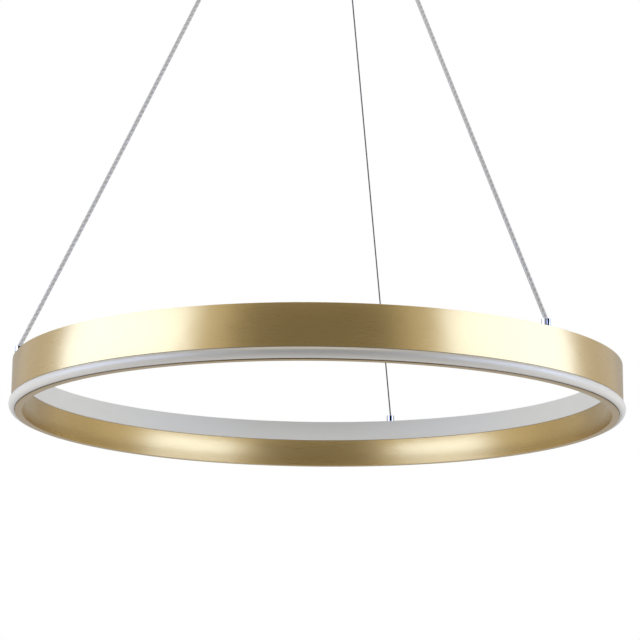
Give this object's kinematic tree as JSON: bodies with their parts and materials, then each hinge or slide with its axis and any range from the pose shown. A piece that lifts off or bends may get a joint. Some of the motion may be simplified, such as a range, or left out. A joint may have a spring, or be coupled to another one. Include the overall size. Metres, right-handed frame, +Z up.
{
  "type": "led ring chandelier",
  "caption": "Slim gilt ring pendant with opal light bands on its inner face and lower edge, hung on sheathed conductors and a steel wire from a round ceiling canopy.",
  "frame": {"origin": "centre of the canopy's contact face with the ceiling", "axes": "+Z up into the ceiling, -Y towards the viewer, +X to the viewer's right"},
  "size_m": [0.6047, 0.6046, 0.5434],
  "materials": {
    "gilt_metal": "brushed and gold anodised, satin",
    "gilt_paint": "gold paint on steel sheet, satin",
    "gilt_metal_turned": "turned and knurled, satin",
    "bare_aluminium": "mill",
    "opal": "opal, translucent, satin",
    "board": "white solder mask",
    "lamp": "phosphor resin",
    "chrome": "polished plating",
    "steel": "bare or zinc plated",
    "sheath_clear": "clear sheath over a tinned braid",
    "sheath_white": "smooth",
    "foam": "closed-cell foam",
    "driver_plastic": "moulded, matt",
    "terminal_plastic": "moulded"
  },
  "bodies": {
    "canopy": {"ceiling_bracket": "steel", "canopy_cup": "gilt_paint", "cover_screws": "gilt_metal_turned", "gripper_barrels": "chrome", "gripper_nuts": "steel", "conductor_left": "sheath_clear", "conductor_right": "sheath_clear", "steel_wire_back": "steel", "conductor_ends": "sheath_clear", "steel_wire_end": "steel", "driver_pad": "foam", "driver_case": "driver_plastic", "driver_lid": "driver_plastic", "terminal_block": "terminal_plastic"},
    "ring": {"ring_frame": "gilt_metal", "inner_diffuser": "opal", "outer_diffuser": "opal", "inner_led_board": "board", "outer_led_board": "board", "inner_led_chips": "lamp", "outer_led_chips": "lamp", "splice_plate": "bare_aluminium", "anchor_caps": "chrome", "anchor_nuts": "steel", "ring_leads": "sheath_white"},
    "collet_back": {"gripper_collet_back": "chrome"},
    "collet_left": {"gripper_collet_left": "chrome"},
    "collet_right": {"gripper_collet_right": "chrome"}
  },
  "joints": [
    {"name": "ring_height", "type": "slide", "parent": "canopy", "child": "ring", "axis": [0, 0, 1], "range_m": [0, 0.2], "deforming": ["conductor_left", "conductor_right", "steel_wire_back"]},
    {"name": "release_back", "type": "slide", "parent": "canopy", "child": "collet_back", "axis": [0, 0, 1], "range_m": [0, 0.0025], "stiffness_N_per_m": 500, "springref_m": -0.004},
    {"name": "release_left", "type": "slide", "parent": "canopy", "child": "collet_left", "axis": [0, 0, 1], "range_m": [0, 0.0025], "stiffness_N_per_m": 500, "springref_m": -0.004},
    {"name": "release_right", "type": "slide", "parent": "canopy", "child": "collet_right", "axis": [0, 0, 1], "range_m": [0, 0.0025], "stiffness_N_per_m": 500, "springref_m": -0.004}
  ]
}
